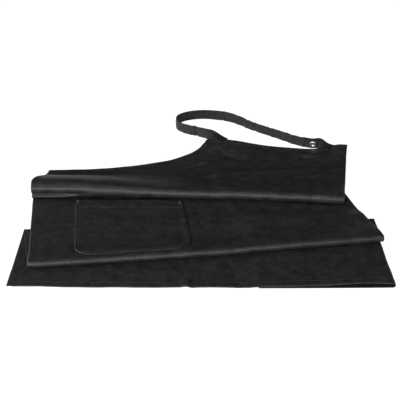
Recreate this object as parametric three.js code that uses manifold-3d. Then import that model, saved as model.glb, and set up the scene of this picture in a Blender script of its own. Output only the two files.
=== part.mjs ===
// A bib apron lying on a table, folded in a zigzag, with its neck strap standing in an open loop.
// Millimetres, +Z up, the hem in front (towards -Y) and the bib at the back.

import * as THREE from 'three';
import { mergeVertices } from 'three/addons/utils/BufferGeometryUtils.js';
import Module from 'manifold-3d';

const wasm = await Module();
wasm.setup();

// Sizes of the apron laid flat

const PANEL_LENGTH = 920; // hem to the top of the bib
const BIB_WIDTH = 292;
const ARMHOLE_WIDTH = 290;
const ARMHOLE_HEIGHT = 180;
const ARMHOLE_ROUND = 1.82; // 2 is a quarter of an ellipse, and less is flatter
const SIDE_TAPER = 28; // the fold under the right side runs in by this much from hem to bib
const UNDER_WIDTH = 212; // cloth folded under the right side, at the hem
const UNDER_TIP = 8; // what is left of it at the bib's top
const CLOTH = 1.0;
const PLY_GAP = 0.5; // air between plies that lie on each other
const ROLL_HEIGHT = 31; // of the high rounded fold at its left end

const POCKET_WIDTH = 196;
const POCKET_DEPTH = 195; // along its middle
const POCKET_SLANT = 25; // what the left side has over the right one
const POCKET_CORNER = 34;
const SEAM_GAP = 0.3; // between a piece and the cloth it is sewn to

const STRAP_WIDTH = 22;
const STRAP_THICKNESS = 1.4;
const LOOP_REACH = 137; // how far the neck loop stands off the bib's top edge
const TAB_OVERLAP = 32; // tab behind the strap's free end
const SEWN_LENGTH = 14; // tab and strap lying on the bib

const SNAP_DIAMETER = 12.5;
const SNAP_HEIGHT = 2.2;
const SNAP_POST = 4;
const SNAP_HOLE = 4.8;
const SOCKET_DIAMETER = 11;

// Sizes worked out from them

const SHOWN_WIDTH = ARMHOLE_WIDTH + BIB_WIDTH + SIDE_TAPER;
const PITCH = CLOTH + PLY_GAP; // from ply to ply
const BIB_CORNER = ARMHOLE_WIDTH / (ARMHOLE_WIDTH + BIB_WIDTH);

// The lines across the panel, in order from the hem: x is a share of SHOWN_WIDTH and y a share of
// PANEL_LENGTH. bow moves a line's middle back, and facing is 1 for a fold at the back.
const LINES = [
  { name: 'hem', leftX: -0.501, leftY: -0.002, rightX: 0.4995, rightY: -0.004, bow: -0.003, facing: -1 },
  { name: 'backFold', leftX: -0.506, leftY: 0.185, rightX: 0.507, rightY: 0.219, bow: 0, facing: 1 },
  { name: 'lowRoll', leftX: -0.459, leftY: 0.05, rightX: 0.512, rightY: 0.1346, bow: -0.004, facing: -1 },
  { name: 'hiddenFold', leftX: -0.521, leftY: 0.353, rightX: 0.418, rightY: 0.415, bow: 0, facing: 1 },
  { name: 'highRoll', leftX: -0.5135, leftY: 0.303, rightX: 0.432, rightY: 0.2747, bow: 0.012, facing: -1 },
  { name: 'bibTop', leftX: -0.449, leftY: 0.614, rightX: 0.4967, rightY: 0.529, bow: -0.012, facing: 1 },
];

// The two rounded folds in front: their heights at the left and right as shares of ROLL_HEIGHT, the
// share of the width over which the left height fades, and how far behind the fold the cloth
// settles, as shares of PANEL_LENGTH
const ROLLS = {
  lowRoll: { left: 0.355, right: 0.452, fade: 1.0, settleLeft: 0.0674, settleRight: 0.0783 },
  highRoll: { left: 1.0, right: 0.516, fade: 0.3, settleLeft: 0.1043, settleRight: 0.0913 },
};

// Places where cloth stands up off what it lies on. Layers count from the hem's. across is a share
// of the shown width and along a share of the layer, and wide is a share of SHOWN_WIDTH, long of
// PANEL_LENGTH and high of ROLL_HEIGHT.
const RISES = [
  { place: 'front right corner', layer: 0, across: 0.94, along: 0, wide: 0.102, long: 0.057, high: 0.19 },
  { place: 'pucker in the hem', layer: 0, across: 0.4665, along: 0, wide: 0.015, long: 0.033, high: 0.1 },
  { place: 'bib left corner', layer: 4, across: 0.5615, along: 1, wide: 0.139, long: 0.065, high: 0.435 },
  { place: 'bib right corner', layer: 4, across: 0.985, along: 1, wide: 0.067, long: 0.057, high: 0.368 },
  { place: 'bib crease', layer: 4, across: 0.5, along: 0.74, wide: 0.066, long: 0.015, high: 0.13 },
];

// Layers count from the hem's at 0 to the bib's
const POCKET_LAYER = 2;
const BIB_LAYER = 4;
const BIB_TOP = LINES.length - 1;

// Shares of PANEL_LENGTH at which the layers start, and the end of the last
const LAYER_STARTS = [0, 0.207, 0.315, 0.598, 0.68, 1];

// How far behind a back fold the cloth over it starts to come down, and over what length
const DROP_START = PANEL_LENGTH * 0.0087;
const DROP_RUN = PANEL_LENGTH * 0.0435;

// Steps along the panel on each layer and round each fold
const LAYER_STEPS = [6, 4, 13, 4, 8];
const ARMHOLE_STEPS = 9;
const BACK_FOLD_STEPS = 3;
const ROLL_STEPS = 8;
const LEFT_COLUMNS = 13; // across the single cloth
const UNDER_COLUMNS = 8; // across the cloth folded under
const WRAP_STEPS = 4; // round the fold at the right side
const UNDER_RAMP = 26; // width over which cloth comes down beside the folded-under edge
const RAMP_FLAT = 2; // level stretch beside that edge before it starts

// The pocket's bottom left corner as shares across the shown width and along its layer, and the
// pocket's turn in radians
const POCKET_PLACE = { across: 0.1265, along: 0.0297, turn: 0.118 };

// Where the two ends of the neck loop are sewn, as shares across the shown width, how far each
// leans to the left from square to the bib's edge, in degrees, and the length over which it then
// turns from flat to upright, as a share of STRAP_WIDTH
const SEWN_ENDS = {
  left: { across: 0.548, turn: 52, twist: 1.9 },
  right: { across: 0.93, turn: 48, twist: 1.12 },
};

// The neck loop between them, standing on its edge: across is a share of BIB_WIDTH from the bib's
// left corner, back a share of LOOP_REACH off the bib's top edge, lean tips the band forward, in
// degrees, and lift is how far its edge is off the table, as a share of STRAP_WIDTH
const LOOP_ROUTE = [
  { across: 0.058, back: 0.046, lean: 0, lift: 0.295 },
  { across: -0.014, back: 0.112, lean: 0, lift: 0.341 },
  { across: -0.113, back: 0.245, lean: 2, lift: 0.227 },
  { across: -0.181, back: 0.345, lean: 4, lift: 0.114 },
  { across: -0.226, back: 0.453, lean: 4, lift: 0.045 },
  { across: -0.252, back: 0.579, lean: 4, lift: 0 },
  { across: -0.249, back: 0.705, lean: 4, lift: 0 },
  { across: -0.221, back: 0.806, lean: 6, lift: 0 },
  { across: -0.17, back: 0.893, lean: 4, lift: 0 },
  { across: -0.08, back: 0.96, lean: 0, lift: 0 },
  { across: 0.034, back: 0.954, lean: 4, lift: 0 },
  { across: 0.136, back: 0.895, lean: 10, lift: 0 },
  { across: 0.217, back: 0.787, lean: 16, lift: 0 },
  { across: 0.326, back: 0.575, lean: 16, lift: 0 },
  { across: 0.477, back: 0.36, lean: 14, lift: 0 },
  { across: 0.606, back: 0.169, lean: 9, lift: 0 },
  { across: 0.696, back: 0.083, lean: 9, lift: 0 },
  { across: 0.753, back: 0.047, lean: 9, lift: 0 },
  { across: 0.806, back: 0.019, lean: 9, lift: 0.073 },
];
const SEWN_STOPS = [0, 0.2, 0.5, 1]; // places of the route on a sewn end, as shares of its length
const STRAP_STEPS = 46; // along the strap up to the tab
const OVERLAP_STEPS = 8; // where they lie on each other
const TAB_STEPS = 8; // along the rest of the tab
const STRAP_FREE_END = 0.944; // share of the loop's length at which the strap ends
const SNAP_INSET = 9; // from the strap's free end to the middle of the press stud

const clamp01 = (value) => Math.min(1, Math.max(0, value));
const smooth = (value) => clamp01(value) ** 2 * (3 - 2 * clamp01(value));
const mix = THREE.MathUtils.lerp;

// Point on line number index at the share across, 0 at the left edge and 1 at the right fold
function linePoint(index, across) {
  const line = LINES[index];
  const bow = line.bow * 4 * across * (1 - across);
  const x = mix(line.leftX, line.rightX, across) * SHOWN_WIDTH;
  const y = (mix(line.leftY, line.rightY, across) + bow) * PANEL_LENGTH;
  return new THREE.Vector2(x, y);
}

// Direction in which line number index faces, level and square to it
function lineFacing(index, across) {
  const step = 0.01;
  const run = linePoint(index, across + step).sub(linePoint(index, across - step)).normalize();
  return new THREE.Vector2(-run.y, run.x).multiplyScalar(LINES[index].facing);
}

// Distance from the hem along the panel at a share along a layer, as a share of PANEL_LENGTH
const panelShare = (layer, along) => mix(LAYER_STARTS[layer], LAYER_STARTS[layer + 1], along);

const layerLength = (layer) => (LAYER_STARTS[layer + 1] - LAYER_STARTS[layer]) * PANEL_LENGTH;

// Share along the bib's layer at which the armhole starts
const ARMHOLE_START = 1 - ARMHOLE_HEIGHT / linePoint(BIB_TOP, 0).distanceTo(linePoint(BIB_LAYER, 0));

// How far up the armhole a point lies, 0 at the waist and 1 at the bib's top
function armholeShare(layer, along) {
  return layer === BIB_LAYER ? clamp01((along - ARMHOLE_START) / (1 - ARMHOLE_START)) : 0;
}

// Left edge of the cloth, as a share across: the armhole is nearly a quarter of an ellipse
function leftEdge(layer, along) {
  const down = 1 - armholeShare(layer, along);
  return BIB_CORNER * (1 - down ** ARMHOLE_ROUND) ** (1 / ARMHOLE_ROUND);
}

// Edge of the cloth folded under, as a share across: the other armhole cuts it back to its tip
function underEdge(layer, along) {
  const width = UNDER_WIDTH + SIDE_TAPER * panelShare(layer, along);
  const cut = Math.sqrt(1 - (1 - armholeShare(layer, along)) ** 2);
  return 1 - mix(width, UNDER_TIP, cut) / SHOWN_WIDTH;
}

// Share of two-ply height at a level point: 1 over the folded-under cloth of a layer, 0 left of it
function twoPly(layer, x, y) {
  const start = linePoint(layer, 0.5).y;
  const end = linePoint(layer + 1, 0.5).y;
  const along = clamp01((y - start) / (end - start));
  const edge = underEdge(layer, along);
  const edgeX = mix(linePoint(layer, edge).x, linePoint(layer + 1, edge).x, along);
  return smooth((x - edgeX + UNDER_RAMP) / (UNDER_RAMP - RAMP_FLAT));
}

// How far the layers over a back fold have come down behind it, 0 to 1
function behindFold(index, x, y) {
  const across = clamp01(x / SHOWN_WIDTH + 0.5);
  return smooth((y - linePoint(index, across).y - DROP_START) / DROP_RUN);
}

// Height of the middle of each layer's cloth at a level point, without rolls and rises
function restHeight(layer, x, y) {
  const floor = (on) => CLOTH / 2 + PITCH * twoPly(on, x, y);
  if (layer === 0) return floor(0);
  if (layer === 1) return floor(0) + PITCH;
  if (layer === 2) {
    const stacked = floor(0) + PITCH * (2 + 2 * twoPly(2, x, y));
    return mix(stacked, floor(2), behindFold(1, x, y));
  }
  if (layer === 3) return restHeight(2, x, y) + PITCH;
  const stacked = restHeight(2, x, y) + PITCH * (2 + 2 * twoPly(3, x, y));
  return mix(stacked, floor(4), behindFold(3, x, y));
}

// Radius of the middle of the cloth in the fold after a layer
function foldRadius(index, across) {
  const roll = ROLLS[LINES[index].name];
  if (!roll) return PITCH / 2;
  const share = mix(roll.right, roll.left, Math.exp(-((across / roll.fade) ** 2)));
  return (share * ROLL_HEIGHT - CLOTH) / 2;
}

// Height added by the places that stand up
function riseHeight(layer, across, along) {
  let height = 0;
  for (const rise of RISES) {
    if (rise.layer !== layer) continue;
    const sideways = (across - rise.across) / rise.wide;
    const lengthways = ((along - rise.along) * layerLength(layer)) / (rise.long * PANEL_LENGTH);
    height += rise.high * ROLL_HEIGHT * Math.exp(-(sideways ** 2) - lengthways ** 2);
  }
  return height;
}

// Where the round of a fold begins (turn 0) and ends (turn PI), and what lies between
function foldPoint(index, across, turn) {
  const radius = foldRadius(index, across);
  const facing = lineFacing(index, across);
  const centre = linePoint(index, across).addScaledVector(facing, -radius);
  const below = restHeight(index - 1, centre.x, centre.y);
  const point = centre.addScaledVector(facing, radius * Math.sin(turn));
  return new THREE.Vector3(point.x, point.y, below + radius * (1 - Math.cos(turn)));
}

// Point in the middle of the cloth, at a share across and along a layer
function clothPoint(layer, across, along) {
  const flat = (point) => new THREE.Vector3(point.x, point.y, 0);
  const start = layer === 0 ? flat(linePoint(0, across)) : foldPoint(layer, across, Math.PI);
  const end = layer === BIB_LAYER ? flat(linePoint(BIB_TOP, across)) : foldPoint(layer + 1, across, 0);
  const point = start.clone().lerp(end, along);
  point.z = restHeight(layer, point.x, point.y) + riseHeight(layer, across, along);
  const roll = ROLLS[LINES[layer].name];
  if (roll) {
    const settle = mix(roll.settleLeft, roll.settleRight, across) * PANEL_LENGTH;
    const gone = Math.hypot(point.x - start.x, point.y - start.y) / settle;
    point.z += (start.z - restHeight(layer, start.x, start.y)) * (1 - smooth(gone));
  }
  return point;
}

// Rows across the panel from the hem to the bib's top, each with its layer and share along, and
// for rows in a fold the turn. Rows crowd towards the folds and towards the armhole's start.
function panelRows() {
  const crowding = 0.6;
  const rows = [];
  LAYER_STEPS.forEach((steps, layer) => {
    for (let step = 0; step <= steps; step += 1) {
      const even = step / steps;
      const crowded = mix(even, smooth(even), crowding);
      rows.push({ layer, along: layer === BIB_LAYER ? ARMHOLE_START * even : crowded });
    }
    if (layer === BIB_LAYER) return;
    const turns = ROLLS[LINES[layer + 1].name] ? ROLL_STEPS : BACK_FOLD_STEPS;
    for (let turn = 1; turn < turns; turn += 1) {
      rows.push({ layer, along: 1, turn: (Math.PI * turn) / turns });
    }
  });
  for (let step = 1; step <= ARMHOLE_STEPS; step += 1) {
    const angle = (Math.PI / 2) * (step / ARMHOLE_STEPS);
    rows.push({ layer: BIB_LAYER, along: mix(ARMHOLE_START, 1, 1 - Math.cos(angle)) });
  }
  return rows;
}

// Shares across at which a row has its points: even up to the ramp beside the folded-under edge,
// then even over the folded-under cloth. On the bib, where that edge nears the left one, the ramp
// keeps at least a fifth of the cloth between them.
function rowShares(row) {
  const left = leftEdge(row.layer, row.along);
  const under = underEdge(row.layer, row.along);
  const ramp = Math.max(under - UNDER_RAMP / SHOWN_WIDTH, mix(left, under, 0.8));
  const shares = [];
  for (let column = 0; column < LEFT_COLUMNS; column += 1) {
    shares.push(mix(left, ramp, column / (LEFT_COLUMNS - 1)));
  }
  for (let column = 0; column <= UNDER_COLUMNS; column += 1) {
    shares.push(mix(under, 1, column / UNDER_COLUMNS));
  }
  return shares;
}

// The middle of the cloth as a grid of points, a row of them for each row of the panel
function clothGrid(rows) {
  return rows.map((row) =>
    rowShares(row).map((across) =>
      row.turn === undefined
        ? clothPoint(row.layer, across, row.along)
        : foldPoint(row.layer + 1, across, row.turn),
    ),
  );
}

// Unit vectors at a grid point: across to the right, and out of the cloth's face
function gridFrame(grid, row, column) {
  const before = grid[Math.max(0, row - 1)][column];
  const after = grid[Math.min(grid.length - 1, row + 1)][column];
  const left = grid[row][Math.max(0, column - 1)];
  const right = grid[row][Math.min(grid[row].length - 1, column + 1)];
  const across = right.clone().sub(left).normalize();
  const along = after.clone().sub(before);
  const face = across.clone().cross(along).normalize();
  return { across, face };
}

// Closed solid between two grids of points with the same rows and columns
function thickSheet(outer, inner) {
  const rows = outer.length;
  const columns = outer[0].length;
  const positions = [];
  for (const grid of [outer, inner]) {
    for (const row of grid) for (const point of row) positions.push(point.x, point.y, point.z);
  }
  const outerAt = (row, column) => row * columns + column;
  const innerAt = (row, column) => rows * columns + outerAt(row, column);
  const indices = [];
  const quad = (a, b, c, d) => indices.push(a, b, c, a, c, d);
  const last = rows - 1;
  const end = columns - 1;
  for (let row = 0; row < last; row += 1) {
    const next = row + 1;
    for (let column = 0; column < end; column += 1) {
      const right = column + 1;
      quad(outerAt(row, column), outerAt(row, right), outerAt(next, right), outerAt(next, column));
      quad(innerAt(row, column), innerAt(next, column), innerAt(next, right), innerAt(row, right));
    }
    quad(outerAt(row, 0), outerAt(next, 0), innerAt(next, 0), innerAt(row, 0));
    quad(outerAt(row, end), innerAt(row, end), innerAt(next, end), outerAt(next, end));
  }
  for (let column = 0; column < end; column += 1) {
    const right = column + 1;
    quad(outerAt(0, column), innerAt(0, column), innerAt(0, right), outerAt(0, right));
    quad(outerAt(last, column), outerAt(last, right), innerAt(last, right), innerAt(last, column));
  }
  const geometry = new THREE.BufferGeometry();
  geometry.setAttribute('position', new THREE.Float32BufferAttribute(positions, 3));
  geometry.setIndex(indices);
  return geometry;
}

// Spacing of the folded-under cloth from the cloth over it, wider where the front corner stands up
function plySpacing(row, across) {
  const onHemLayer = row.layer === 0 && row.turn === undefined;
  return onHemLayer ? PITCH + riseHeight(0, across, row.along) : PITCH;
}

// The folded panel: each row runs over the face, round the right fold and back under
function panelGeometry(rows, grid) {
  const outer = [];
  const inner = [];
  rows.forEach((row, rowIndex) => {
    const shares = rowShares(row);
    const points = grid[rowIndex];
    const outerRow = [];
    const innerRow = [];
    const put = (centre, direction, distance) => {
      outerRow.push(centre.clone().addScaledVector(direction, distance + CLOTH / 2));
      innerRow.push(centre.clone().addScaledVector(direction, distance - CLOTH / 2));
    };
    points.forEach((point, column) => put(point, gridFrame(grid, rowIndex, column).face, 0));
    const last = points.length - 1;
    const edge = gridFrame(grid, rowIndex, last);
    const half = plySpacing(row, 1) / 2;
    const centre = points[last].clone().addScaledVector(edge.face, -half);
    for (let step = 1; step < WRAP_STEPS; step += 1) {
      const turn = (Math.PI * step) / WRAP_STEPS;
      const direction = edge.face.clone().multiplyScalar(Math.cos(turn));
      put(centre, direction.addScaledVector(edge.across, Math.sin(turn)), half);
    }
    for (let column = last; column >= LEFT_COLUMNS; column -= 1) {
      const down = gridFrame(grid, rowIndex, column).face.negate();
      put(points[column], down, plySpacing(row, shares[column]));
    }
    outer.push(outerRow);
    inner.push(innerRow);
  });
  return thickSheet(outer, inner);
}

const rows = panelRows();
const grid = clothGrid(rows);

// A mesh as a manifold-3d solid, and back
function toSolid(geometry) {
  const bare = geometry.clone();
  for (const name of ['normal', 'uv']) bare.deleteAttribute(name);
  const merged = mergeVertices(bare, 1e-4);
  return new wasm.Manifold(
    new wasm.Mesh({
      numProp: 3,
      vertProperties: new Float32Array(merged.attributes.position.array),
      triVerts: new Uint32Array(merged.index.array),
    }),
  );
}

function toGeometry(solid) {
  const mesh = solid.getMesh();
  const geometry = new THREE.BufferGeometry();
  geometry.setAttribute('position', new THREE.BufferAttribute(mesh.vertProperties.slice(), 3));
  geometry.setIndex(new THREE.BufferAttribute(mesh.triVerts.slice(), 1));
  geometry.computeVertexNormals();
  return geometry;
}

// The pocket's outline seen from above, from its bottom left corner, with two round lower corners
function pocketOutline() {
  const leftSide = POCKET_DEPTH + POCKET_SLANT / 2;
  const rightSide = POCKET_DEPTH - POCKET_SLANT / 2;
  const outline = new THREE.Shape();
  outline.moveTo(0, leftSide);
  outline.lineTo(0, POCKET_CORNER);
  outline.quadraticCurveTo(0, 0, POCKET_CORNER, 0);
  outline.lineTo(POCKET_WIDTH - POCKET_CORNER, 0);
  outline.quadraticCurveTo(POCKET_WIDTH, 0, POCKET_WIDTH, POCKET_CORNER);
  outline.lineTo(POCKET_WIDTH, rightSide);
  outline.closePath();
  return outline;
}

// The pocket: a sheet that follows the cloth below it, cut to the outline
function pocketGeometry() {
  const inner = [];
  const outer = [];
  rows.forEach((row, rowIndex) => {
    if (row.layer !== POCKET_LAYER || row.turn !== undefined) return;
    const lift = (column, distance) => {
      const { face } = gridFrame(grid, rowIndex, column);
      return grid[rowIndex][column].clone().addScaledVector(face, distance);
    };
    const columns = Array.from({ length: LEFT_COLUMNS }, (_, column) => column);
    inner.push(columns.map((column) => lift(column, CLOTH / 2 + SEAM_GAP)));
    outer.push(columns.map((column) => lift(column, CLOTH / 2 + SEAM_GAP + CLOTH)));
  });
  const corner = clothPoint(POCKET_LAYER, POCKET_PLACE.across, POCKET_PLACE.along);
  const options = { depth: POCKET_DEPTH, bevelEnabled: false, curveSegments: 5 };
  const cutter = new THREE.ExtrudeGeometry(pocketOutline(), options);
  cutter.translate(0, 0, -POCKET_DEPTH / 2);
  cutter.rotateZ(POCKET_PLACE.turn);
  cutter.translate(corner.x, corner.y, 0);
  return toGeometry(toSolid(thickSheet(outer, inner)).intersect(toSolid(cutter)));
}

// The neck loop's middle line from one sewn end to the other. Each end lies on the bib.
function loopCurve() {
  const corner = linePoint(BIB_TOP, BIB_CORNER);
  const edge = linePoint(BIB_TOP, 1).sub(corner).normalize();
  const back = new THREE.Vector2(-edge.y, edge.x);
  const upright = LOOP_ROUTE.map((stop) => {
    const point = corner.clone().addScaledVector(edge, stop.across * BIB_WIDTH);
    point.addScaledVector(back, stop.back * LOOP_REACH);
    const tall = Math.cos(THREE.MathUtils.degToRad(stop.lean)) * STRAP_WIDTH;
    const height = STRAP_THICKNESS + stop.lift * STRAP_WIDTH + tall / 2;
    return new THREE.Vector3(point.x, point.y, height);
  });
  const sewn = (end) => {
    const turn = THREE.MathUtils.degToRad(end.turn);
    const lift = CLOTH / 2 + SEAM_GAP * 2.5 + STRAP_THICKNESS / 2;
    return SEWN_STOPS.map((stop) => {
      const across = end.across + (stop * SEWN_LENGTH * Math.sin(turn)) / SHOWN_WIDTH;
      const along = 1 - (stop * SEWN_LENGTH * Math.cos(turn)) / layerLength(BIB_LAYER);
      const risen = lift + STRAP_THICKNESS * (1 - stop) ** 2;
      return clothPoint(BIB_LAYER, across, along).addScaledVector(sewnFrame(end).face, risen);
    });
  };
  const points = [...sewn(SEWN_ENDS.left).reverse(), ...upright, ...sewn(SEWN_ENDS.right)];
  return new THREE.CatmullRomCurve3(points, false, 'centripetal');
}

// Directions of the band where a loop end is sewn: off the bib, across the band and out of the face
function sewnFrame(end) {
  const step = 0.02;
  const along = 1 - SEWN_LENGTH / 2 / layerLength(BIB_LAYER);
  const edge = clothPoint(BIB_LAYER, end.across + step, along);
  edge.sub(clothPoint(BIB_LAYER, end.across - step, along)).normalize();
  const up = clothPoint(BIB_LAYER, end.across, 1).sub(clothPoint(BIB_LAYER, end.across, along - step));
  const face = edge.clone().cross(up).normalize();
  const leaving = face.clone().cross(edge).applyAxisAngle(face, THREE.MathUtils.degToRad(end.turn));
  return { leaving, wide: leaving.clone().cross(face), face };
}

const loop = loopCurve();
const loopLength = loop.getLength();

// Lean of the band in radians at a share of the loop's length, from the route's stops
function loopLean(share) {
  const place = clamp01(share) * (LOOP_ROUTE.length - 1);
  const stop = Math.min(Math.floor(place), LOOP_ROUTE.length - 2);
  return THREE.MathUtils.degToRad(mix(LOOP_ROUTE[stop].lean, LOOP_ROUTE[stop + 1].lean, place - stop));
}

// Middle of the band, its width direction and its face at a distance along the loop. The band
// stands upright and lies down on the bib at its two ends. forward moves it out of its face.
function loopStation(distance, forward = 0) {
  const share = clamp01(distance / loopLength);
  const centre = loop.getPointAt(share);
  const tangent = loop.getTangentAt(share);
  const fromEnd = Math.min(distance, loopLength - distance);
  const end = distance < loopLength / 2 ? SEWN_ENDS.left : SEWN_ENDS.right;
  const turned = smooth((fromEnd - SEWN_LENGTH) / (end.twist * STRAP_WIDTH));
  const lean = loopLean(share);
  const upright = new THREE.Vector3(0, -Math.sin(lean), Math.cos(lean));
  const wide = sewnFrame(end).wide.lerp(upright, turned);
  wide.addScaledVector(tangent, -wide.dot(tangent)).normalize();
  const face = tangent.clone().cross(wide).normalize();
  centre.addScaledVector(face, forward);
  return { centre, wide, face };
}

// A band through stations
function bandGeometry(stations) {
  const side = (distance) =>
    stations.map(({ centre, wide, face }) =>
      [-0.5, 0.5].map((half) =>
        centre.clone().addScaledVector(wide, half * STRAP_WIDTH).addScaledVector(face, distance),
      ),
    );
  return thickSheet(side(-STRAP_THICKNESS / 2), side(STRAP_THICKNESS / 2));
}

// The strap runs from the bib's left corner and ends in front of the tab that starts at the right
const strapEnd = STRAP_FREE_END * loopLength;
const tabStart = strapEnd - TAB_OVERLAP;
const snapAt = strapEnd - SNAP_INSET;
const strapForward = (distance) =>
  (STRAP_THICKNESS + SEAM_GAP) * smooth((distance - tabStart + TAB_OVERLAP) / TAB_OVERLAP);
const snapSeat = loopStation(snapAt, strapForward(snapAt));

// Distances along the loop from one to another in even steps, without the first
function evenSteps(from, to, steps) {
  return Array.from({ length: steps }, (_, step) => mix(from, to, (step + 1) / steps));
}

const overlap = [tabStart, ...evenSteps(tabStart, strapEnd, OVERLAP_STEPS)];

function strapGeometry() {
  const distances = [0, ...evenSteps(0, tabStart, STRAP_STEPS), ...overlap.slice(1)];
  const stations = distances.map((distance) => loopStation(distance, strapForward(distance)));
  return withSnapHole(bandGeometry(stations));
}

function tabGeometry() {
  const distances = [...overlap, ...evenSteps(strapEnd, loopLength, TAB_STEPS)];
  return withSnapHole(bandGeometry(distances.map((distance) => loopStation(distance))));
}

// Turns geometry whose axis is +Y so that it stands out of the strap's face at the press stud
function atSnap(geometry) {
  const turn = new THREE.Quaternion().setFromUnitVectors(new THREE.Vector3(0, 1, 0), snapSeat.face);
  geometry.applyQuaternion(turn);
  return geometry.translate(...snapSeat.centre);
}

function withSnapHole(geometry) {
  const drill = new THREE.CylinderGeometry(SNAP_HOLE / 2, SNAP_HOLE / 2, STRAP_THICKNESS * 8, 12);
  return toGeometry(toSolid(geometry).subtract(toSolid(atSnap(drill))));
}

// Press stud: a cap with a raised rim and a post through strap and tab, turned about its axis
const SNAP_SIDES = 16;
const SOCKET_HEIGHT = 2;
const capBottom = STRAP_THICKNESS / 2 + SEAM_GAP * 1.5;
const socketTop = -STRAP_THICKNESS * 1.5 - SEAM_GAP * 3.5;

function snapCapGeometry() {
  const radius = SNAP_DIAMETER / 2;
  return latheAtSnap([
    [0, socketTop - SOCKET_HEIGHT],
    [SNAP_POST / 2, socketTop - SOCKET_HEIGHT],
    [SNAP_POST / 2, capBottom],
    [radius, capBottom],
    [radius, capBottom + SNAP_HEIGHT * 0.3],
    [radius * 0.85, capBottom + SNAP_HEIGHT * 0.85],
    [radius * 0.62, capBottom + SNAP_HEIGHT],
    [radius * 0.42, capBottom + SNAP_HEIGHT * 0.45],
    [0, capBottom + SNAP_HEIGHT * 0.45],
  ]);
}

function snapSocketGeometry() {
  const radius = SOCKET_DIAMETER / 2;
  const bore = SNAP_POST / 2 + SEAM_GAP;
  return latheAtSnap([
    [bore, socketTop - SOCKET_HEIGHT],
    [radius * 0.8, socketTop - SOCKET_HEIGHT],
    [radius, socketTop - SOCKET_HEIGHT / 2],
    [radius, socketTop],
    [bore, socketTop],
    [bore, socketTop - SOCKET_HEIGHT],
  ]);
}

// A profile turned about the press stud's axis, with its seam closed by manifold-3d
function latheAtSnap(profile) {
  const points = profile.map(([x, y]) => new THREE.Vector2(x, y));
  return toGeometry(toSolid(atSnap(new THREE.LatheGeometry(points, SNAP_SIDES))));
}

const material = (color, roughness, metalness = 0) =>
  new THREE.MeshStandardMaterial({ color, roughness, metalness });

// Sub-part names, shapes and finishes
const PIECES = [
  { name: 'apron_panel', geometry: panelGeometry(rows, grid), finish: material(0x1d1d20, 0.85) },
  { name: 'patch_pocket', geometry: pocketGeometry(), finish: material(0x1f1f22, 0.85) },
  { name: 'neck_strap', geometry: strapGeometry(), finish: material(0x2a2a2e, 0.75) },
  { name: 'strap_tab', geometry: tabGeometry(), finish: material(0x2a2a2e, 0.75) },
  { name: 'snap_cap', geometry: snapCapGeometry(), finish: material(0xc8c9cc, 0.3, 1) },
  { name: 'snap_socket', geometry: snapSocketGeometry(), finish: material(0x8d8e92, 0.4, 1) },
];

const apron = new THREE.Group();
for (const piece of PIECES) {
  const mesh = new THREE.Mesh(piece.geometry, piece.finish);
  mesh.name = piece.name;
  apron.add(mesh);
}

// The origin is the middle of the apron's footprint, on the table
const middle = new THREE.Box3().setFromObject(apron).getCenter(new THREE.Vector3());
apron.position.set(-middle.x, -middle.y, 0);

export default apron;
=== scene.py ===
"""A black bib apron, folded in a zigzag and laid down, with its neck strap standing in a loop."""
import math

import bmesh
import bpy
from mathutils import Euler, Matrix, Vector, noise


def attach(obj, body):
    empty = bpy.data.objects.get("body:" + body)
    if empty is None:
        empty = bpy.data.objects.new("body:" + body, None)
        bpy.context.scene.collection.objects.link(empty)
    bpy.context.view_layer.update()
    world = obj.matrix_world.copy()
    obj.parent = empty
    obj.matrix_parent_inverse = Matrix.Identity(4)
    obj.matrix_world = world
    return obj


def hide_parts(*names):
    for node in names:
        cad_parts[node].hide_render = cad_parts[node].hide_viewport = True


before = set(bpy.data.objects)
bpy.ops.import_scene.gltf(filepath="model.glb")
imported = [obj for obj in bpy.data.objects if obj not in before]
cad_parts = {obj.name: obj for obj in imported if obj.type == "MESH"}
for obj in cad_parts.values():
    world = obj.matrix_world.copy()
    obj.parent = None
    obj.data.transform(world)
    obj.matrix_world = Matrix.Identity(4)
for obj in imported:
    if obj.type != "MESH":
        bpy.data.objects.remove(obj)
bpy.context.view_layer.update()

# Camera: a 76.5 mm lens well in front of the hem, looking down on the folded apron at 29 degrees.
# Places on the apron are given from the middle of its hem line, which lies HEM_LINE in front of
# the origin.
HEM_LINE = Vector((0.0022, -0.32206, 0))
CAMERA_BACK = 1.104
CAMERA_HEIGHT = 0.776
CAMERA_PITCH = math.radians(29.3)

camera_data = bpy.data.cameras.new("camera")
camera_data.lens = 76.5
camera_data.clip_end = 20
camera = bpy.data.objects.new("camera", camera_data)
camera.location = HEM_LINE + Vector((0, -CAMERA_BACK, CAMERA_HEIGHT))
camera.rotation_euler = Euler((math.pi / 2 - CAMERA_PITCH, 0, 0))
bpy.context.scene.collection.objects.link(camera)
bpy.context.scene.camera = camera

# Apron panel: one piece of black cotton twill, hemmed all round. Its right side is folded under,
# then the whole is folded in a zigzag of five layers, which leaves a low and a high round fold in
# front. The fold lines are given at the left edge and at the right fold.
PANEL_LENGTH = 0.920
ARMHOLE_ROUND = 1.82
BIB_WIDTH = 0.292
ARMHOLE_WIDTH = 0.290
ARMHOLE_HEIGHT = 0.180
SIDE_TAPER = 0.028
UNDER_WIDTH = 0.212
UNDER_TIP = 0.008
SHOWN_WIDTH = ARMHOLE_WIDTH + BIB_WIDTH + SIDE_TAPER
BIB_CORNER = ARMHOLE_WIDTH / (ARMHOLE_WIDTH + BIB_WIDTH)
CLOTH = 0.0010
PITCH = 0.0015

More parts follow.
